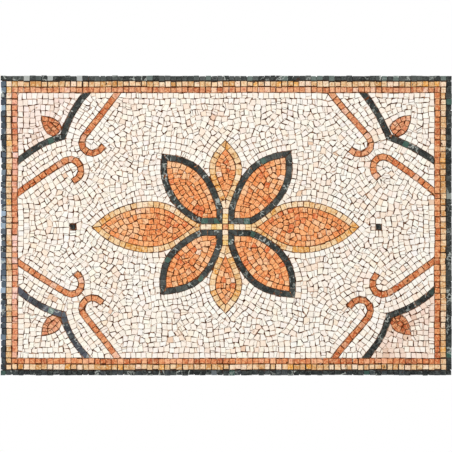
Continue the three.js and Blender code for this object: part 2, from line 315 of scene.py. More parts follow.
def flow_headings(places, starts, ends, seed):
    """Along the nearest walls close to them, and drifting away from that further in."""
    edge = ends - starts
    length = np.linalg.norm(edge, axis=1)
    angle = np.arctan2(edge[:, 1], edge[:, 0])
    distance = wall_distances(places, starts, ends)
    weight = length[None] / (distance ** 2 + (0.3 * PITCH) ** 2) ** 1.5
    fourfold = np.sum(weight * np.exp(4j * angle)[None], axis=1)
    depth = np.clip((distance.min(axis=1) - 1.2 * PITCH) / (4 * PITCH), 0, 1)
    return np.angle(fourfold) / 4 + 0.8 * depth * smooth_noise(places, 0.06, seed)


def scattered_sites(starts, ends, pitch):
    """Two rows along every wall, then an uneven grid in what is left."""
    low, high = starts.min(axis=0), starts.max(axis=0)
    found = []
    for row, spacing in ((0.5, 0.8), (1.5, 0.75)):
        edge = ends - starts
        length = np.linalg.norm(edge, axis=1)
        normals = -outward(edge)
        reach = np.concatenate([[0.0], np.cumsum(length)])
        where = np.arange(0.5 * pitch, reach[-1], pitch * 0.25)
        step = np.clip(np.searchsorted(reach, where, side="right") - 1, 0, len(starts) - 1)
        share = ((where - reach[step]) / length[step])[:, None]
        candidates = starts[step] + edge[step] * share + normals[step] * row * pitch
        clear = wall_distances(candidates, starts, ends).min(axis=1) > (row - 0.06) * pitch
        found = keep_apart(candidates[clear & inside(candidates, starts, ends)], found, pitch, spacing)
    grid = np.stack(np.meshgrid(np.arange(low[0], high[0], pitch * 0.5),
                                np.arange(low[1], high[1], pitch * 0.5)), axis=-1).reshape(-1, 2)
    grid = grid + rng.uniform(-0.25, 0.25, grid.shape) * pitch
    grid = grid[inside(grid, starts, ends)]
    grid = grid[wall_distances(grid, starts, ends).min(axis=1) > 0.5 * pitch]
    rng.shuffle(grid)
    return np.array(keep_apart(grid, found, pitch, 0.8))


def keep_apart(candidates, found, pitch, spacing):
    """Adds each candidate that is far enough from those already found."""
    kept = list(found)
    places = np.zeros((len(found) + len(candidates), 2))
    if kept:
        places[:len(kept)] = kept
    for candidate in candidates:
        near = places[:len(kept)] - candidate
        if not kept or np.min(near[:, 0] ** 2 + near[:, 1] ** 2) > (spacing * pitch) ** 2:
            places[len(kept)] = candidate
            kept.append(candidate)
    return kept


def grid_mask(loops, low, shape):
    """The cells of a grid that lie inside outlines."""
    starts, ends = wall_segments(loops)
    mask = np.zeros(shape, bool)
    for row in range(shape[0]):
        z = low[1] + (row + 0.5) * CELL
        crossed = (starts[:, 1] > z) != (ends[:, 1] > z)
        first, last = starts[crossed], ends[crossed]
        run, rise = (last - first).T
        x = np.sort(first[:, 0] + (z - first[:, 1]) * run / rise)
        columns = np.ceil((x - low[0]) / CELL - 0.5).astype(int)
        for left, right in zip(columns[::2], columns[1::2]):
            mask[row, left:right] = True
    return mask


def relaxed(places, loops, pitch, seed):
    """Moves places until each is the middle of a square patch that follows the walls."""
    starts, ends = wall_segments(loops)
    low = starts.min(axis=0) - CELL
    shape = tuple(np.ceil((starts.max(axis=0) - low) / CELL).astype(int)[::-1] + 1)
    allowed = grid_mask(loops, low, shape)
    columns = (low[0] + (np.arange(shape[1]) + 0.5) * CELL).astype(np.float32)
    rows = (low[1] + (np.arange(shape[0]) + 0.5) * CELL).astype(np.float32)
    reach = int(1.3 * pitch / CELL)
    lengths = rng.uniform(0.76, 1.3, len(places)).astype(np.float32)
    widths = rng.uniform(0.76, 1.3, len(places)).astype(np.float32)
    turned = rng.normal(0, 0.12, len(places)) * free_of_walls(places, starts, ends)
    for _ in range(RELAX_ROUNDS):
        headings = flow_headings(places, starts, ends, seed) + turned
        best = np.where(allowed, np.float32(1e3), np.float32(-1.0))
        owner = np.full(shape, -1)
        cells = ((places - low) / CELL).astype(int)
        for index, (column, row) in enumerate(cells):
            window = (slice(max(row - reach, 0), row + reach), slice(max(column - reach, 0), column + reach))
            across = columns[window[1]] - np.float32(places[index, 0])
            up = (rows[window[0]] - np.float32(places[index, 1]))[:, None]
            cos, sin = math.cos(headings[index]), math.sin(headings[index])
            metric = np.maximum(
                np.abs(across * cos + up * sin) / lengths[index],
                np.abs(up * cos - across * sin) / widths[index],
            )
            closer = metric < best[window]
            best[window][closer] = metric[closer]
            owner[window][closer] = index
        taken = owner >= 0
        owners = owner[taken]
        row_of, column_of = np.nonzero(taken)
        count = np.maximum(np.bincount(owners, minlength=len(places)), 1)
        x = np.bincount(owners, columns[column_of], len(places)) / count
        z = np.bincount(owners, rows[row_of], len(places)) / count
        placed = np.bincount(owners, minlength=len(places)) > 0
        places = np.where(placed[:, None], np.stack([x, z], axis=1), places)
    return places[placed], (flow_headings(places, starts, ends, seed) + turned)[placed]


def free_of_walls(places, starts, ends):
    """0 for stones beside a wall, 1 for those well away from all."""
    depth = wall_distances(places, starts, ends).min(axis=1)
    return np.clip((depth - 0.6 * PITCH) / PITCH, 0.15, 1)


def patch_sites(loops, pitch, seed):
    starts, ends = wall_segments(loops)
    return relaxed(scattered_sites(starts, ends, pitch), loops, pitch, seed)


# The outline of each stone


def clipped(polygon, normal_x, normal_z, limit):
    """The part of a convex polygon on the near side of a line."""
    kept = []
    before_x, before_z = polygon[-1]
    before = before_x * normal_x + before_z * normal_z - limit
    for x, z in polygon:
        here = x * normal_x + z * normal_z - limit
        if (here <= 0) != (before <= 0):
            share = before / (before - here)
            kept.append((before_x + (x - before_x) * share, before_z + (z - before_z) * share))
        if here <= 0:
            kept.append((x, z))
        before_x, before_z, before = x, z, here
    return kept


def runs_through(polygon, start, end):
    """Whether a wall segment crosses the inside of a convex polygon."""
    first, last = 0.0, 1.0
    step_x, step_z = end[0] - start[0], end[1] - start[1]
    for (ax, az), (bx, bz) in edges_of(polygon):
        edge_x, edge_z = bx - ax, bz - az
        depth = edge_x * (start[1] - az) - edge_z * (start[0] - ax)
        change = edge_x * step_z - edge_z * step_x
        if abs(change) < 1e-14:
            if depth < 0:
                return False
            continue
        if change > 0:
            first = max(first, -depth / change)
        else:
            last = min(last, -depth / change)
        if last <= first:
            return False
    return (last - first) * math.hypot(step_x, step_z) > SHORTEST_CROSSING


def polygon_area(polygon):
    return 0.5 * sum(ax * bz - bx * az for (ax, az), (bx, bz) in edges_of(polygon))


def without_short_edges(polygon):
    kept = [p for p, after in edges_of(polygon) if math.dist(p, after) > SHORTEST_EDGE]
    return kept if len(kept) > 2 else polygon


def with_cut_corners(polygon, share):
    """Knocks off corners, a few of them more."""
    cut = []
    count = len(polygon)
    for index, (x, z) in enumerate(polygon):
        size = rng.uniform(0.0001, 0.0003)
        if rng.random() < share:
            size = rng.uniform(0.0007, 0.0018)
        if size < SMALLEST_CUT:
            cut.append((x, z))
            continue
        for other_x, other_z in (polygon[index - 1], polygon[(index + 1) % count]):
            length = math.hypot(other_x - x, other_z - z)
            amount = min(size, 0.3 * length) / length
            cut.append((x + (other_x - x) * amount, z + (other_z - z) * amount))
    return cut


def with_fewer_sides(polygon, most, most_lost):
    """Cuts straight across the smallest corners, which leaves a gap there."""
    polygon = list(polygon)
    whole = polygon_area(polygon)
    while len(polygon) > most:
        count = len(polygon)
        lost = [polygon_area([polygon[k - 1], polygon[k], polygon[(k + 1) % count]]) for k in range(count)]
        least = int(np.argmin(lost))
        if lost[least] > most_lost * whole:
            break
        polygon.pop(least)
    return polygon


def broken(polygon, joint):
    """Splits a stone in two near its middle, along or across its longest side."""
    middle = np.mean(polygon, axis=0)
    longest = max(range(len(polygon)), key=lambda k: math.dist(polygon[k - 1], polygon[k]))
    (ax, az), (bx, bz) = polygon[longest - 1], polygon[longest]
    angle = math.atan2(bz - az, bx - ax) + rng.integers(2) * math.pi / 2 + rng.normal(0, 0.15)
    normal_x, normal_z = math.cos(angle), math.sin(angle)
    limit = middle[0] * normal_x + middle[1] * normal_z + rng.normal(0, 0.0008)
    return [
        clipped(polygon, normal_x, normal_z, limit - joint / 2),
        clipped(polygon, -normal_x, -normal_z, -limit - joint / 2),
    ]


def tips_of(loops):
    """Corners of the walls that point into the run."""
    return np.concatenate([loop[turns(loop) < -TIP_TURN] for loop in loops])


def quarter_turn(angle):
    """An angle brought within an eighth of a turn either way by quarter turns."""
    return (angle + math.pi / 4) % (math.pi / 2) - math.pi / 4


def cut_by_walls(place, heading, starts, ends, near, tips, pitch, laying):
    """A square around a place, cut back to one side of every wall it meets."""
    cos, sin = math.cos(heading), math.sin(heading)
    half = laying["reach"] * pitch
    polygon = [
        (place[0] + (u * cos - v * sin) * half, place[1] + (u * sin + v * cos) * half)
        for u, v in ((-1, -1), (1, -1), (1, 1), (-1, 1))
    ]
    for wall in np.argsort(near):
        if near[wall] > 1.45 * half:
            break
        start, end = starts[wall], ends[wall]
        if not runs_through(polygon, start, end):
            continue
        edge = end - start
        share = float((place - start) @ edge / (edge @ edge))
        touching = start if share < 0 else end
        if (share < 0 or share > 1) and len(tips) and np.abs(tips - touching).sum(axis=1).min() < 1e-6:
            normal = unit((touching - place)[None])[0]
        else:
            touching = start
            normal = outward(edge[None])[0]
        limit = float(touching @ normal)
        at_edge = on_panel_edge(start) and on_panel_edge(end)
        inset = rng.uniform(0, laying["ragged"]) if at_edge else half_joint(laying)
        turn = rng.normal(0, laying["wedge"] * 0.4)
        turned = math.atan2(normal[1], normal[0]) + turn
        pivot = place + normal * (limit - float(place @ normal))
        slack = abs(math.sin(turn)) * 0.4 * pitch
        normal_x, normal_z = math.cos(turned), math.sin(turned)
        limit = pivot[0] * normal_x + pivot[1] * normal_z - inset - slack
        polygon = clipped(polygon, normal_x, normal_z, limit) or polygon
    return polygon


def half_joint(laying):
    """Half the width of a joint: mostly narrow, now and then wide."""
    return laying["joint"] * min(0.05 + 0.45 * rng.exponential(), laying["widest"])


def on_panel_edge(point):
    """Whether a point is on the outer edge of the panel."""
    across = min(abs(point[0] - cad_low.x), abs(point[0] - cad_high.x))
    up = min(abs(point[1] - cad_low.z), abs(point[1] - cad_high.z))
    return min(across, up) < SAME_PLACE


def cut_apart(polygons, index, other, places, headings, dirt, tips, pitch, laying):
    """Cuts two neighbours back from the line between them, each a little skewed towards its own sides."""
    place, next_place = places[index], places[other]
    base = math.atan2(next_place[1] - place[1], next_place[0] - place[0])
    own = base - quarter_turn(base - headings[index])
    others = base - quarter_turn(base - headings[other])
    common = (own + others) / 2
    snapped = common if abs(common - base) < SNAP_TURN else base
    normal = np.array([math.cos(snapped), math.sin(snapped)])
    middle = (place + next_place) / 2
    limit = float(middle @ normal)
    if len(tips):
        close = np.linalg.norm(tips - middle, axis=1) < 1.1 * pitch
        for tip in tips[close]:
            if abs(tip @ normal - limit) < 0.4 * pitch:
                limit = float(tip @ normal)
    middle = middle + normal * (limit - float(middle @ normal))
    widened = 1 + laying["dirt"] * (dirt[index] + dirt[other] - 1)
    for stone, aim, sign in ((index, own, 1), (other, others, -1)):
        if not polygons[stone]:
            continue
        skew = quarter_turn(aim - snapped) * rng.uniform(0.1, 0.6) + rng.normal(0, laying["wedge"])
        skew = max(-MOST_SKEW, min(MOST_SKEW, skew))
        normal_x, normal_z = sign * math.cos(snapped + skew), sign * math.sin(snapped + skew)
        gap = half_joint(laying) * widened + abs(skew) * 0.25 * pitch
        limit = middle[0] * normal_x + middle[1] * normal_z - gap
        polygons[stone] = clipped(polygons[stone], normal_x, normal_z, limit)


def cover(covered, polygon, low):
    """Marks the cells of a grid under a convex polygon."""
    points = np.array(polygon)
    first = np.maximum(((points.min(axis=0) - low) / CELL).astype(int) - 1, 0)
    last = ((points.max(axis=0) - low) / CELL).astype(int) + 2
    x = low[0] + (np.arange(first[0], last[0]) + 0.5) * CELL
    z = low[1] + (np.arange(first[1], last[1]) + 0.5) * CELL
    under = np.ones((len(z), len(x)), bool)
    for (ax, az), (bx, bz) in edges_of(polygon):
        under &= (bx - ax) * (z[:, None] - az) - (bz - az) * (x[None] - ax) > 0
    window = covered[first[1]:last[1], first[0]:last[0]]
    window |= under[:window.shape[0], :window.shape[1]]


def eroded(mask):
    """The cells whose eight neighbours are all in the mask too."""
    wide = mask.copy()
    wide[:, 1:-1] &= mask[:, 2:] & mask[:, :-2]
    inner = wide.copy()
    inner[1:-1] &= wide[2:] & wide[:-2]
    inner[[0, -1]] = False
    inner[:, [0, -1]] = False
    return inner


def gap_stones(outlines, loops, pitch, laying):
    """Small stones for the places that the others leave open."""
    starts, ends = wall_segments(loops)
    low = starts.min(axis=0) - 2 * CELL
    shape = tuple(np.ceil((starts.max(axis=0) - low) / CELL).astype(int)[::-1] + 3)
    covered = ~grid_mask(loops, low, shape)
    for outline in outlines:
        cover(covered, outline, low)
    added = []
    tips = tips_of(loops)
    while True:
        open_cells = eroded(~covered)
        deeper = eroded(open_cells)
        if deeper.any():
            open_cells = deeper
        if not open_cells.any():
            return added
        row, column = np.argwhere(open_cells)[0]
        place = low + (np.array([column, row]) + 0.5) * CELL
        near = wall_distances(place[None], starts, ends)[0]
        polygon = cut_by_walls(place, rng.uniform(0, math.pi), starts, ends, near, tips, pitch, laying)
        for other in outlines + added:
            if math.dist(other[0], place) > 3 * pitch:
                continue
            points = np.array(other)
            edges = np.roll(points, -1, axis=0) - points
            normals = outward(edges)
            away = np.sum((place - points) * normals, axis=1)
            side = int(np.argmax(away))
            normal = -normals[side]
            limit = float(points[side] @ normal) - 2 * half_joint(laying)
            polygon = clipped(polygon, normal[0], normal[1], limit) if polygon else polygon
        covered[max(row - 1, 0):row + 2, max(column - 1, 0):column + 2] = True
        if len(polygon) > 2 and polygon_area(polygon) > SMALLEST_GAP_STONE:
            polygon = with_cut_corners(without_short_edges(polygon), 0)
            cover(covered, polygon, low)
            added.append(polygon)


def stone_outlines(places, headings, loops, pitch, laying):
    """Cuts a square at each place by the walls of its run and by its neighbours."""
    starts, ends = wall_segments(loops)
    tips = tips_of(loops)
    to_walls = wall_distances(places, starts, ends)
    polygons = [
        cut_by_walls(place, heading, starts, ends, near, tips, pitch, laying)
        for place, heading, near in zip(places, headings, to_walls)
    ]
    dirt = soil(places)
    for index in range(len(places)):
        away = places[index + 1:] - places[index]
        for other in np.flatnonzero(np.sum(away * away, axis=1) < (2.2 * pitch) ** 2) + index + 1:
            cut_apart(polygons, index, other, places, headings, dirt, tips, pitch, laying)
    outlines = []
    for polygon in polygons:
        halves = [polygon]
        if len(polygon) > 2 and rng.random() < laying["broken"]:
            halves = broken(polygon, laying["joint"])
        for half in halves:
            if len(half) < 3 or polygon_area(half) < SMALLEST_SHARE * pitch ** 2:
                continue
            half = with_fewer_sides(without_short_edges(half), laying["sides"], laying["squared"])
            outlines.append(with_cut_corners(half, laying["chipped"]))
    return outlines + gap_stones(outlines, loops, pitch, laying)


def swayed(outlines):
    """Lets the rows wander a little, as hand-laid rows do, but not at the edge of the panel."""
    wandered = []
    for outline in outlines:
        places = np.array(outline)
        edge = np.minimum(
            np.minimum(places[:, 0] - cad_low.x, cad_high.x - places[:, 0]),
            np.minimum(places[:, 1] - cad_low.z, cad_high.z - places[:, 1]),
        )
        reach = SWAY * np.clip(edge / PITCH, 0, 1)
        places[:, 0] += reach * smooth_noise(places, SWAY_SCALE, 21)
        places[:, 1] += reach * smooth_noise(places, SWAY_SCALE, 22)
        places = places.clip((cad_low.x, cad_low.z), (cad_high.x, cad_high.z))
        wandered.append([tuple(place) for place in places.tolist()])
    return wandered


# Colours


def linear(red, green, blue):
    """A screen colour, 0 to 255, as linear light."""
    return [((c / 255 + 0.055) / 1.055) ** 2.4 if c > 10 else c / 255 / 12.92 for c in (red, green, blue)]


MORTAR_STAIN = linear(118, 64, 30)
FLUSH_MORTAR = linear(226, 200, 178)
GRIME = linear(62, 50, 42)


def tints(outlines, shades, weights, patch_scale, seed):
    """A colour for each stone: shades come in patches and vary a little from stone to stone."""
    middles = np.array([np.mean(outline, axis=0) for outline in outlines])
    order = smooth_noise(middles, patch_scale, seed) * 0.35 + rng.normal(0, 0.45, len(middles))
    rank = np.argsort(np.argsort(order)) / len(middles)
    limits = np.cumsum(weights) / np.sum(weights)
    picked = np.minimum(np.searchsorted(limits, rank), len(shades) - 1)
    colours = np.array([linear(*shades[k]) for k in picked])
    brightness = 1 + rng.normal(0, 0.025, (len(middles), 1))
    warmth = 1 + rng.normal(0, 0.012, (len(middles), 3))
    return np.clip(colours * brightness * warmth, 0, 1)


# Meshes


def new_object(name, data):
    made = bpy.data.objects.new(name, data)
    bpy.context.scene.collection.objects.link(made)
    return made


def add_layer(piece, name, values, kind="FLOAT", field="value"):
    """A value or colour for each vertex, which the material reads."""
    layer = piece.data.attributes.new(name, kind, "POINT")
    layer.data.foreach_set(field, np.asarray(values, np.float32).ravel())


def add_object(name, vertices, faces, material_slots, face_materials=None):
    mesh = bpy.data.meshes.new(name)
    mesh.from_pydata(vertices, [], faces)
    for material in material_slots:
        mesh.materials.append(material)
    if face_materials is not None:
        mesh.polygons.foreach_set("material_index", face_materials)
    return new_object(name, mesh)


def stones_piece(name, outlines, colours, material, side_stain, rim_stain):
    """One mesh of closed stones with rounded edges, slightly tilted faces and mortar stain on the sides."""
    vertices, faces, tint, stone = [], [], [], []
    for outline, colour in zip(outlines, colours):
        count = len(outline)
        soiled = soil(np.array(outline))[:, None]
        base = len(vertices)
        middle_x = sum(x for x, _ in outline) / count
        middle_z = sum(z for _, z in outline) / count
        tilt_x, tilt_z = rng.normal(0, TILT / 2, 2).clip(-TILT, TILT)
        height = rng.uniform(0, RECESS)
        spread = max(abs(x - middle_x) for x, _ in outline) + max(abs(z - middle_z) for _, z in outline)
        sunk = height + TILT * spread / 2
        face_ring, shoulder_ring, soiled_ring = [], [], []
        for x, z in outline:
            away = math.hypot(x - middle_x, z - middle_z)
            share = 1 - EDGE_ROUND / max(away, 2 * EDGE_ROUND)
            lean = tilt_x * (x - middle_x) + tilt_z * (z - middle_z)
            depth = FACE + max(sunk + lean, 0)
            face_ring.append((middle_x + (x - middle_x) * share, depth, middle_z + (z - middle_z) * share))
            shoulder_ring.append((x, depth + EDGE_ROUND * 0.7, z))
            soiled_ring.append((x, depth + SOILED_FROM, z))
        vertices.extend((x, BED_FRONT, z) for x, z in outline)
        vertices.extend(soiled_ring)
        vertices.extend(shoulder_ring)
        vertices.extend(face_ring)
        faces.append([base + k for k in range(count - 1, -1, -1)])
        for ring in range(base, base + 3 * count, count):
            for k in range(count):
                after = (k + 1) % count
                faces.append([ring + k, ring + after, ring + count + after, ring + count + k])
        faces.append([base + 3 * count + k for k in range(count)])
        side_share = side_stain * (0.6 + 0.4 * soiled)
        rim_share = np.minimum(2 * rim_stain * soiled, 0.95)
        for share in (side_share, side_share, rim_share, 0 * soiled):
            stained = colour * (1 - share) + np.array(MORTAR_STAIN) * share
            tint.append(np.hstack([stained, np.ones((count, 1))]))
        stone.extend([rng.random()] * (4 * count))
    piece = add_object(name, vertices, faces, [material])
    add_layer(piece, "tint", np.concatenate(tint), "FLOAT_COLOR", "color")
    add_layer(piece, "stone", stone)
    return piece


# Materials


class Nodes:
    """Short calls for building a material."""

    def __init__(self, name):
        self.material = bpy.data.materials.new(name)
        self.material.use_nodes = True
        self.tree = self.material.node_tree
        self.shader = self.tree.nodes["Principled BSDF"]

    def add(self, kind, **settings):
        node = self.tree.nodes.new(kind)
        for key, value in settings.items():
            setattr(node, key, value)
        return node

    def link(self, output, socket):
        self.tree.links.new(output, socket)

    def attribute(self, name, output):
        return self.add("ShaderNodeAttribute", attribute_name=name).outputs[output]

    def coordinates(self):
        return self.add("ShaderNodeTexCoord").outputs["Object"]

    def noise(self, scale, detail=4.0, roughness=0.55, where=None, offset=None, distortion=0.0):
        node = self.add("ShaderNodeTexNoise", noise_dimensions="4D")
        node.inputs["Scale"].default_value = scale
        node.inputs["Detail"].default_value = detail
        node.inputs["Roughness"].default_value = roughness
        node.inputs["Distortion"].default_value = distortion
        self.link(where or self.coordinates(), node.inputs["Vector"])
        if offset is not None:
            self.link(offset, node.inputs["W"])
        return node.outputs["Fac"]

    def maths(self, operation, first, second=None, clamp=False):
        node = self.add("ShaderNodeMath", operation=operation, use_clamp=clamp)
        for socket, value in zip(node.inputs, (first, second)):
            if isinstance(value, (int, float)):
                socket.default_value = value
            elif value is not None:
                self.link(value, socket)
        return node.outputs[0]

    def ramp(self, factor, low, high, bottom=0.0, top=1.0):
        node = self.add("ShaderNodeMapRange", interpolation_type="SMOOTHSTEP")
        node.inputs["From Min"].default_value = low
        node.inputs["From Max"].default_value = high
        node.inputs["To Min"].default_value = bottom
        node.inputs["To Max"].default_value = top
        self.link(factor, node.inputs["Value"])
        return node.outputs[0]

    def blend(self, factor, first, second, mode="MIX"):
        node = self.add("ShaderNodeMix", data_type="RGBA", blend_type=mode)
        for socket, value in ((node.inputs[0], factor), (node.inputs[6], first), (node.inputs[7], second)):
            if isinstance(value, (int, float)):
                socket.default_value = value
            elif isinstance(value, (list, tuple)):
                socket.default_value = (*value, 1.0)
            else:
                self.link(value, socket)
        return node.outputs[2]

    def finish(self, colour, roughness, height, strength, distance, specular):
        self.link(colour, self.shader.inputs["Base Color"])
        self.link(roughness, self.shader.inputs["Roughness"])
        self.shader.inputs["Specular IOR Level"].default_value = specular
        bump = self.add("ShaderNodeBump")
        bump.inputs["Strength"].default_value = strength
        bump.inputs["Distance"].default_value = distance
        self.link(height, bump.inputs["Height"])
        self.link(bump.outputs[0], self.shader.inputs["Normal"])
        return self.material


def marble(name, cloud, cloud_scale, cloud_amount, vein, vein_scale, vein_amount, vein_width, mottle, rough,
           specular):
    """Honed marble: each stone has its own tint, clouds and veins, and a fine grain."""
    nodes = Nodes(name)
    tint = nodes.attribute("tint", "Color")
    own = nodes.maths("MULTIPLY", nodes.attribute("stone", "Fac"), 40.0)
    clouds = nodes.ramp(nodes.noise(cloud_scale, 4, 0.6, offset=own), 0.4, 0.66)
    colour = nodes.blend(nodes.maths("MULTIPLY", clouds, cloud_amount), tint, cloud)
    flow = nodes.noise(vein_scale, 4, 0.55, offset=own, distortion=0.25)
    ridge = nodes.maths("ABSOLUTE", nodes.maths("SUBTRACT", flow, 0.5))
    veins = nodes.ramp(ridge, 0.0, vein_width, vein_amount, 0.0)
    patchy = nodes.ramp(nodes.attribute("stone", "Fac"), 0.5, 0.9, 0.1, 1.0)
    colour = nodes.blend(nodes.maths("MULTIPLY", veins, patchy), colour, vein)
    specks = nodes.noise(330, 3, 0.65, offset=own)
    colour = nodes.blend(nodes.ramp(specks, 0.5, 0.62, 0.0, mottle), colour, cloud)
    colour = nodes.blend(nodes.ramp(specks, 0.38, 0.5, mottle, 0.0), colour, vein)
    grain = nodes.noise(900, 3, 0.7, offset=own)
    colour = nodes.blend(nodes.ramp(grain, 0.3, 0.7, 0.0, 0.16), colour, (0.08, 0.06, 0.045), "MULTIPLY")
    roughness = nodes.ramp(nodes.noise(260, 3, offset=own), 0.3, 0.7, rough - 0.08, rough + 0.1)
    height = nodes.maths("ADD", nodes.noise(320, 4, 0.6, offset=own), nodes.maths("MULTIPLY", grain, 0.35))
    return nodes.finish(colour, roughness, height, 0.5, 0.0002, specular)


def mortar(name, colour, darker, haze, patch_scale, low, high):
    """Sandy mortar in two shades, which change over in patches, with a pale haze and grimy parts."""
    nodes = Nodes(name)
    patches = nodes.ramp(nodes.noise(patch_scale, 3, 0.6), low, high)
    mixed = nodes.blend(patches, darker, colour)
    mixed = nodes.blend(nodes.ramp(nodes.noise(110, 3, 0.6), 0.6, 0.68), mixed, haze)
    mixed = nodes.blend(nodes.attribute("flush", "Fac"), mixed, FLUSH_MORTAR)
    mixed = nodes.blend(nodes.attribute("grime", "Fac"), mixed, GRIME)
    sand = nodes.noise(1400, 3, 0.7)
    mixed = nodes.blend(nodes.ramp(sand, 0.4, 0.7, 0.0, 0.35), mixed, darker)
    roughness = nodes.ramp(sand, 0.3, 0.7, 0.85, 0.98)
    return nodes.finish(mixed, roughness, sand, 0.8, 0.0004, 0.2)


def thread(name, colour, soiled):
    """Coated glass fibre: fine ribs across, and mortar that has got on it here and there."""
    nodes = Nodes(name)
    ribs = nodes.noise(1800, 2, 0.5)
    smears = nodes.ramp(nodes.noise(60, 4), 0.45, 0.7)
    mixed = nodes.blend(smears, colour, soiled)
    roughness = nodes.ramp(ribs, 0.3, 0.7, 0.6, 0.8)
    return nodes.finish(mixed, roughness, ribs, 0.6, 0.0003, 0.35)


cream = marble("cream_marble", linear(248, 222, 202), 130, 0.12, linear(212, 168, 138), 80, 0.25, 0.02, 0.06,
               0.5, 0.25)
green = marble("green_marble", linear(96, 108, 102), 150, 0.2, linear(206, 212, 204), 60, 0.7, 0.035, 0.05,
               0.42, 0.15)
yellow = marble("yellow_marble", linear(255, 230, 190), 170, 0.3, linear(190, 112, 36), 80, 0.4, 0.03, 0.55,
                0.46, 0.25)
orange = marble("orange_marble", linear(255, 196, 142), 240, 0.35, linear(178, 68, 20), 90, 0.5, 0.04, 0.6,
                0.46, 0.25)
joint_mortar = mortar("joint_mortar", linear(184, 130, 88), linear(96, 50, 20), linear(196, 182, 178),
                      190, 0.52, 0.66)
bed_mortar = mortar("bed_mortar", linear(168, 162, 154), linear(132, 126, 118), linear(188, 184, 178),
                    70, 0.35, 0.68)
fibre = thread("mesh_fibre", linear(236, 234, 226), linear(196, 190, 178))


# Shades of each stone, with how common they are

GREEN_SHADES = ([(24, 26, 25), (36, 38, 36), (56, 59, 56), (54, 88, 76), (142, 148, 140)],
                [7, 7, 3.5, 0.8, 0.6])
INLAY_SHADES = ([(28, 30, 29), (41, 43, 41), (62, 65, 62), (56, 90, 78), (112, 128, 120)],
                [7, 7, 3.8, 0.8, 0.4])
SLATE_SHADES = ([(42, 44, 52), (58, 60, 72), (74, 77, 90), (124, 146, 138)], [4, 5, 4, 1.2])
GREEN_TOP_SHADES = ([(32, 35, 34), (52, 55, 54), (78, 82, 80), (100, 114, 108), (184, 188, 184)],
                    [3, 5, 4, 2, 0.6])
# Left green row: paler, bluer shades, partly the stones' own slate colour and partly a painted sheen of light
# from the left
GREEN_LEFT_WITH_SHEEN_SHADES = ([(40, 47, 56), (60, 69, 81), (82, 94, 108), (110, 124, 139), (158, 177, 193)],
                     [4, 5, 4, 2, 1.2])
GREEN_BOTTOM_SHADES = ([(18, 21, 23), (30, 34, 37), (48, 53, 57), (46, 78, 72), (100, 108, 112)],
                       [7, 7, 4, 0.8, 0.4])
YELLOW_SHADES = ([(250, 224, 198), (238, 200, 158), (222, 174, 120), (206, 146, 76), (236, 166, 66)],
                 [3, 5, 5, 2.5, 1])
YELLOW_PETAL_SHADES = ([(254, 232, 200), (246, 210, 160), (234, 186, 122), (232, 164, 72)], [2, 5, 5, 3.5])
STEM_SHADES = ([(255, 240, 214), (252, 218, 156), (242, 198, 112)], [3, 4, 4])
ORANGE_TOP_SHADES = ([(248, 210, 184), (230, 168, 130), (212, 140, 98), (190, 110, 70)], [1.5, 5, 5, 2])
ORANGE_LEFT_SHADES = ([(253, 218, 210), (240, 180, 160), (228, 150, 114), (212, 124, 86)], [1.8, 4, 5, 2.5])
ORANGE_RIGHT_SHADES = ([(230, 156, 106), (218, 132, 76), (202, 106, 50), (180, 86, 38)], [2, 5, 5, 2])
ORANGE_BOTTOM_SHADES = ([(244, 178, 136), (222, 136, 84), (204, 108, 56), (172, 84, 42)], [3.5, 5, 4, 2])
HOOK_SHADES = ([(242, 198, 172), (224, 147, 98), (213, 119, 61), (198, 94, 37), (172, 76, 32)],
               [1.5, 5, 5, 4.5, 1])
LEAF_SHADES = ([(241, 182, 146), (225, 146, 101), (213, 118, 72), (181, 88, 48)], [2, 5, 5, 2])
FILL_SHADES = ([(255, 228, 204), (255, 203, 155), (254, 174, 110), (248, 149, 80), (230, 111, 50)],
               [0.15, 4, 6, 6, 1.6])
CREAM_SHADES = ([(255, 251, 242), (255, 248, 236), (255, 243, 228), (254, 234, 214), (240, 206, 178)],
                [5, 9, 5, 0.8, 0.08])
CORNER_CREAM_SHADES = {
    "upper_left": ([(255, 247, 238), (253, 239, 228), (249, 231, 218), (240, 218, 202)], [3, 8, 5, 1.5]),
    "lower_right": ([(255, 244, 230), (250, 232, 216), (244, 218, 200), (232, 200, 176)], [3, 6, 4, 1]),
}

# Runs whose stones are paler or deeper than the others of their kind, and by how much

PALE_ORANGE = (240, 205, 190)
DEEP_ORANGE = (160, 65, 15)
PALE_YELLOW = (255, 238, 214)
DEEP_YELLOW = (200, 130, 60)
PALE_GREEN = (150, 154, 150)
DEEP_GREEN = (10, 12, 11)
LEANINGS = {
    "hook_top_left": (DEEP_ORANGE, 0.2),
    "hook_left_upper": (DEEP_ORANGE, 0.16),
    "hook_top_right": (PALE_ORANGE, 0.28),
    "hook_bottom_left": (PALE_ORANGE, 0.18),
    "hook_left_lower": (PALE_ORANGE, 0.18),
    "hook_bottom_right": (DEEP_ORANGE, 0.34),
    "hook_right_lower": (DEEP_ORANGE, 0.3),
    "leaf_upper_left": (DEEP_ORANGE, 0.28),
    "leaf_upper_right": (PALE_ORANGE, 0.22),
    "leaf_lower_left": (PALE_ORANGE, 0.34),
    "leaf_lower_right": (DEEP_ORANGE, 0.48),
    "border_yellow_left": (PALE_YELLOW, 0.3),
    "border_yellow_right": (DEEP_YELLOW, 0.1),
    "bracket_upper_left": (PALE_GREEN, 0.06),
    "bracket_lower_left": (PALE_GREEN, 0.1),
    "bracket_lower_right": (DEEP_GREEN, 0.42),
    "petal_outline_upper_left": (PALE_GREEN, 0.05),
    "petal_outline_upper_right": (PALE_GREEN, 0.12),
    "petal_outline_lower_left": (PALE_GREEN, 0.14),
    "petal_outline_lower_right": (DEEP_GREEN, 0.12),
}


def leaning(shades, towards, share):
    colours, weights = shades
    return [tuple(c + (t - c) * share for c, t in zip(colour, towards)) for colour in colours], weights


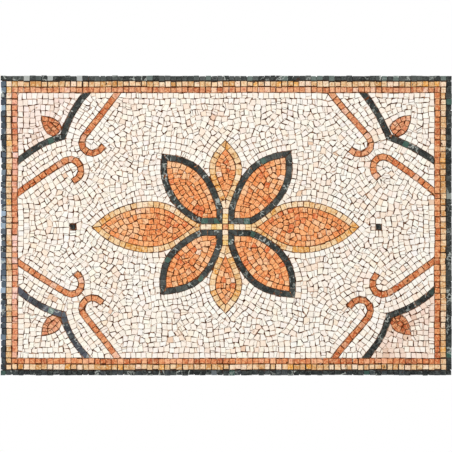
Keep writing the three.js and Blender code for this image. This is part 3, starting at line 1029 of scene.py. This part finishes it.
# How stones are laid: the width of joints, the widest as a multiple of it, how much dirt widens them, how
# far they are from parallel, how ragged the panel's edge is, shares of stones with a corner off and broken in
# two, most sides of a stone, the most that squaring one may cut off, largest half size, and mortar stains

BORDER = {"joint": 0.0014, "widest": 1.1, "dirt": 0.1, "wedge": 0.025, "ragged": 0.0, "chipped": 0.06,
          "broken": 0.0, "sides": 4, "squared": 0.05, "reach": 1.0, "stains": (0.85, 0.25)}
EDGE = BORDER | {"joint": 0.0004, "wedge": 0.03, "ragged": 0.0014, "chipped": 0.12, "sides": 5,
                 "stains": (0.2, 0.0)}
TIGHT_EDGE = EDGE | {"joint": 0.0003, "wedge": 0.015, "ragged": 0.0007, "chipped": 0.06}
LOOSE_EDGE = EDGE | {"joint": 0.0005, "wedge": 0.1, "ragged": 0.0026, "chipped": 0.4, "sides": 6}
STRIP = BORDER | {"joint": 0.0010, "wedge": 0.06, "broken": 0.03, "sides": 5, "reach": 1.1}
RING = BORDER | {"joint": 0.0008, "wedge": 0.035, "broken": 0.01, "sides": 6, "reach": 1.3}
DARK = BORDER | {"joint": 0.0003, "wedge": 0.015, "chipped": 0.03, "broken": 0.05, "sides": 6, "reach": 1.3,
                 "stains": (0.5, 0.0)}
LEAF = BORDER | {"joint": 0.0010, "wedge": 0.05, "broken": 0.1, "squared": 0.08, "reach": 0.8}
PATCH = BORDER | {"joint": 0.0007, "wedge": 0.045, "broken": 0.12, "squared": 0.08, "reach": 0.8}
GROUND = BORDER | {"joint": 0.0005, "widest": 3.0, "dirt": 0.8, "wedge": 0.04, "chipped": 0.12,
                   "broken": 0.14, "squared": 0.11, "reach": 0.8, "stains": (0.95, 0.48)}
STEM = RING | {"joint": 0.0005}
CORNER_GROUND = GROUND | {"joint": 0.0006, "stains": (0.95, 0.5)}

SIDES = ("left", "right")
ENDS = ("top", "bottom")
HEIGHTS = ("upper", "lower")

pieces = []


def add_run(node, loops, sites, stone, shades, laying, slot, pitch=PITCH, patch=0.09):
    places, headings = sites(loops)
    headings = headings + rng.normal(0, laying["wedge"], len(headings))
    outlines = stone_outlines(places, headings, loops, pitch, laying)
    if node in LEANINGS:
        shades = leaning(shades, *LEANINGS[node])
    colours = tints(outlines, *shades, patch, len(pieces))
    piece = stones_piece(f"tesserae_{node}", swayed(outlines), colours, stone, *laying["stains"])
    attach(piece, "root")
    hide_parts(node)
    pieces.append(piece)


def lay_run(node, sites, *rest, **options):
    add_run(node, face_loops(node), sites, *rest, **options)


def lay_border(colour, stone, shades_by_side, laying_by_side):
    """Rows of the border, from their boxes, because the green rows' faces are jointed."""
    for side, shades in shades_by_side.items():
        laying = laying_by_side.get(side, laying_by_side["other"])
        node = f"border_{colour}_{side}"
        low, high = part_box(node)
        corners = np.array([[low.x, low.z], [high.x, low.z], [high.x, high.z], [low.x, high.z]])
        add_run(node, [corners], row_sites, stone, shades, laying, f"{colour}_marble")


def patch_of(pitch, seed):
    return lambda loops: patch_sites(loops, pitch, seed)


lay_border("green", green, {
    "top": GREEN_TOP_SHADES,
    "bottom": GREEN_BOTTOM_SHADES,
    "left": GREEN_LEFT_WITH_SHEEN_SHADES,
    "right": GREEN_SHADES,
}, {"left": LOOSE_EDGE, "right": TIGHT_EDGE, "other": EDGE})
lay_border("yellow", yellow, dict.fromkeys(ENDS + SIDES, YELLOW_SHADES), {"other": BORDER})
lay_border("orange", orange, {
    "top": ORANGE_TOP_SHADES,
    "bottom": ORANGE_BOTTOM_SHADES,
    "left": ORANGE_LEFT_SHADES,
    "right": ORANGE_RIGHT_SHADES,
}, {"other": BORDER})

for height in HEIGHTS:
    for side in SIDES:
        corner = f"{height}_{side}"
        end = ENDS[HEIGHTS.index(height)]
        seed = 10 * HEIGHTS.index(height) + SIDES.index(side)
        ground_shades = CORNER_CREAM_SHADES.get(corner, CREAM_SHADES)
        lay_run(f"petal_outline_{corner}", ring_sites, green, INLAY_SHADES, DARK, "green_marble")
        lay_run(f"petal_fill_{corner}", patch_of(BIG_FILL_PITCH, seed), orange, FILL_SHADES, PATCH,
                "orange_marble")
        for hook in (f"hook_{end}_{side}", f"hook_{side}_{height}"):
            lay_run(hook, hook_sites, orange, HOOK_SHADES, STRIP, "orange_marble")
        bracket_shades = SLATE_SHADES if corner == "lower_left" else INLAY_SHADES
        lay_run(f"bracket_{corner}", strip_sites, green, bracket_shades, DARK, "green_marble")
        lay_run(f"leaf_{corner}", patch_of(LEAF_PITCH, seed + 40), orange, LEAF_SHADES, LEAF,
                "orange_marble")
        lay_run(f"ground_corner_{corner}", patch_of(GROUND_PITCH, seed + 60), cream, ground_shades,
                CORNER_GROUND, "cream_marble")

for kind, sides in (("long", SIDES), ("short", ENDS)):
    for side in sides:
        seed = 100 + len(pieces)
        outline, fill = f"{kind}_petal_outline_{side}", f"{kind}_petal_fill_{side}"
        lay_run(outline, ring_sites, yellow, YELLOW_PETAL_SHADES, RING, "yellow_marble")
        lay_run(fill, patch_of(SMALL_FILL_PITCH, seed), orange, FILL_SHADES, PATCH, "orange_marble")

for side in SIDES + ENDS:
    lay_run(f"stem_{side}", row_sites, yellow, STEM_SHADES, STEM, "yellow_marble")
lay_run("centre_tessera", single_site, orange, ORANGE_RIGHT_SHADES, RING, "orange_marble")
for side in SIDES:
    lay_run(f"dot_{side}", single_site, green, GREEN_SHADES, RING, "green_marble")
lay_run("ground_field", patch_of(GROUND_PITCH, 5), cream, CREAM_SHADES, GROUND, "cream_marble", patch=0.12)


# Mortar in the joints, and the bed with its fibre mesh

def box_mesh(*corners):
    """A closed box from its low and high corners."""
    xs, ys, zs = zip(*corners)
    faces = [[0, 1, 3, 2], [4, 6, 7, 5], [0, 4, 5, 1], [2, 3, 7, 6], [0, 2, 6, 4], [1, 5, 7, 3]]
    return [(x, y, z) for x in xs for y in ys for z in zs], faces


def mortar_filling():
    """A slab under the joints whose surface comes up nearly flush in places and sinks in others."""
    low_x, high_x = cad_low.x + MORTAR_INSET, cad_high.x - MORTAR_INSET
    low_z, high_z = cad_low.z + MORTAR_INSET, cad_high.z - MORTAR_INSET
    columns = round((high_x - low_x) / MORTAR_CELL)
    rows = round((high_z - low_z) / MORTAR_CELL)
    x, z = np.meshgrid(np.linspace(low_x, high_x, columns + 1), np.linspace(low_z, high_z, rows + 1))
    places = np.stack([x.ravel(), z.ravel()], axis=1)
    depth = MORTAR_DEPTH * rng.uniform(0.35, 1.9, len(places)) * (0.3 + 1.1 * soil(places))
    count = len(places)
    front = [(px, FACE + d, pz) for (px, pz), d in zip(places, depth)]
    back = [(px, BED_FRONT, pz) for px, pz in places]
    corner = np.arange(rows * (columns + 1)).reshape(rows, columns + 1)[:, :-1].ravel()
    faces = [[k, k + 1, k + columns + 2, k + columns + 1] for k in corner]
    rim = [*range(columns + 1)]
    rim += [row * (columns + 1) + columns for row in range(1, rows + 1)]
    rim += [rows * (columns + 1) + column for column in range(columns - 1, -1, -1)]
    rim += [row * (columns + 1) for row in range(rows - 1, 0, -1)]
    vertices = front + [back[k] for k in rim]
    for k, here in enumerate(rim):
        after = (k + 1) % len(rim)
        faces.append([rim[after], here, count + k, count + after])
    faces.append([count + k for k in range(len(rim) - 1, -1, -1)])
    return vertices, faces


def on_ground(places):
    """Which places lie on the cream ground."""
    corners = [f"ground_corner_{height}_{side}" for height in HEIGHTS for side in SIDES]
    found = np.zeros(len(places), bool)
    for node in ("ground_field", *corners):
        walls = wall_segments(face_loops(node))
        for part in np.array_split(np.arange(len(places)), 30):
            found[part] |= inside(places[part], *walls)
    return found


filling = add_object("mortar_in_joints", *mortar_filling(), [joint_mortar])
places = np.array([(v.co.x, v.co.z) for v in filling.data.vertices])
low, high = (np.array([corner.x, corner.z]) for corner in (FIELD_LOW, FIELD_HIGH))
add_layer(filling, "grime", ((places < low - PITCH) | (places > high + PITCH)).any(axis=1))
add_layer(filling, "flush", on_ground(places) * np.clip(1 - 2 * soil(places), 0, 1) * FLUSH_SHARE)
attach(filling, "root")

bed_low, bed_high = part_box("backing_bed")


def strand(start, end, seed):
    """A flat thread from one edge of the bed to the other, which dips under the mortar in places."""
    count = max(2, round(math.dist(start, end) / STRAND_STEP))
    share = np.linspace(0, 1, count + 1)[:, None]
    line = np.array(start) * (1 - share) + np.array(end) * share
    side = outward(np.array(end)[None] - np.array(start)[None])[0]
    sway = np.random.default_rng(seed).normal(0, 0.0002, count + 1)[:, None]
    sway[[0, -1]] = 0
    line = line + side * sway
    patches = smooth_noise(line, 0.07, 11) + 0.6 * smooth_noise(line, 0.025, 12)
    dip = np.clip(patches * 0.0003, 0, STRAND_THICKNESS)
    vertices, faces = [], []
    for (x, z), depth in zip(line, dip):
        for across, lower in ((-1, 0), (1, 0), (1, 1), (-1, 1)):
            wide = side * across * STRAND_WIDTH / 2
            vertices.append((x + wide[0], BED_BACK - depth - lower * STRAND_THICKNESS, z + wide[1]))
    for ring in range(count):
        for k in range(4):
            after = (k + 1) % 4
            near, far = 4 * ring, 4 * ring + 4
            faces.append([near + k, near + after, far + after, far + k])
    faces.append([3, 2, 1, 0])
    faces.append([4 * count + k for k in range(4)])
    return vertices, faces


def merged(parts):
    vertices, faces = [], []
    for part_vertices, part_faces in parts:
        base = len(vertices)
        vertices.extend(part_vertices)
        faces.extend([base + k for k in face] for face in part_faces)
    return vertices, faces


strands = []
columns = round((bed_high.x - bed_low.x) / MESH_PITCH)
rows = round((bed_high.z - bed_low.z) / MESH_PITCH)
for x in np.linspace(bed_low.x, bed_high.x, columns + 1)[1:-1]:
    strands.append(strand((x, bed_low.z), (x, bed_high.z), len(strands)))
for z in np.linspace(bed_low.z, bed_high.z, rows + 1)[1:-1]:
    strands.append(strand((bed_low.x, z), (bed_high.x, z), len(strands)))
slab = box_mesh((bed_low.x, BED_FRONT, bed_low.z), (bed_high.x, BED_BACK - BED_SKIN, bed_high.z))
vertices, faces = merged([slab, *strands])
face_materials = [0] * len(slab[1]) + [1] * (len(faces) - len(slab[1]))
bed = add_object("bed_and_fibre_mesh", vertices, faces, [bed_mortar, fibre], face_materials)
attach(bed, "root")
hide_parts("backing_bed")


# Floor, light and camera

FLOOR_DROP = 0.9
FLOOR_RADIUS = 4.0
PHOTO_SIZE = 452
PANEL_PIXELS = 451.7
PANEL_MIDDLE = (226.15, 225.5)
LENS = 100
SENSOR = 36

floor_mesh = bpy.data.meshes.new("floor")
angles = [k * math.pi / 32 for k in range(64)]
rim = [(FLOOR_RADIUS * math.cos(angle), FLOOR_RADIUS * math.sin(angle), 0) for angle in angles]
floor_mesh.from_pydata(rim, [], [list(range(64))])
floor = new_object("floor", floor_mesh)
floor.location.z = cad_low.z - FLOOR_DROP
floor_nodes = Nodes("pale_floor")
floor_nodes.shader.inputs["Base Color"].default_value = (0.94, 0.94, 0.93, 1)
floor_nodes.shader.inputs["Roughness"].default_value = 0.9
floor_mesh.materials.append(floor_nodes.material)

world = bpy.data.worlds.new("studio")
bpy.context.scene.world = world
world.use_nodes = True
world.node_tree.nodes["Background"].inputs["Color"].default_value = (1, 1, 1, 1)
world.node_tree.nodes["Background"].inputs["Strength"].default_value = 1.0


def add_area_light(name, place, target, size, power):
    data = bpy.data.lights.new(name, "AREA")
    data.size = size
    data.energy = power
    light = new_object(name, data)
    light.location = place
    light.rotation_euler = (Vector(target) - Vector(place)).to_track_quat("-Z", "Y").to_euler()


add_area_light("key", (-1.3, -1.7, 1.6), (0, 0, 0), 0.9, 12.6)

camera_data = bpy.data.cameras.new("camera")
camera_data.sensor_width = SENSOR
camera_data.lens = LENS
camera = new_object("camera", camera_data)
panel_width = cad_high.x - cad_low.x
metres_per_pixel = panel_width / PANEL_PIXELS
camera.location = (
    (PHOTO_SIZE / 2 - PANEL_MIDDLE[0]) * metres_per_pixel,
    FACE - metres_per_pixel * PHOTO_SIZE * LENS / SENSOR,
    (PANEL_MIDDLE[1] - PHOTO_SIZE / 2) * metres_per_pixel,
)
camera.rotation_euler = (math.radians(90), 0, 0)
bpy.context.scene.camera = camera
bpy.context.scene.view_settings.view_transform = "Standard"
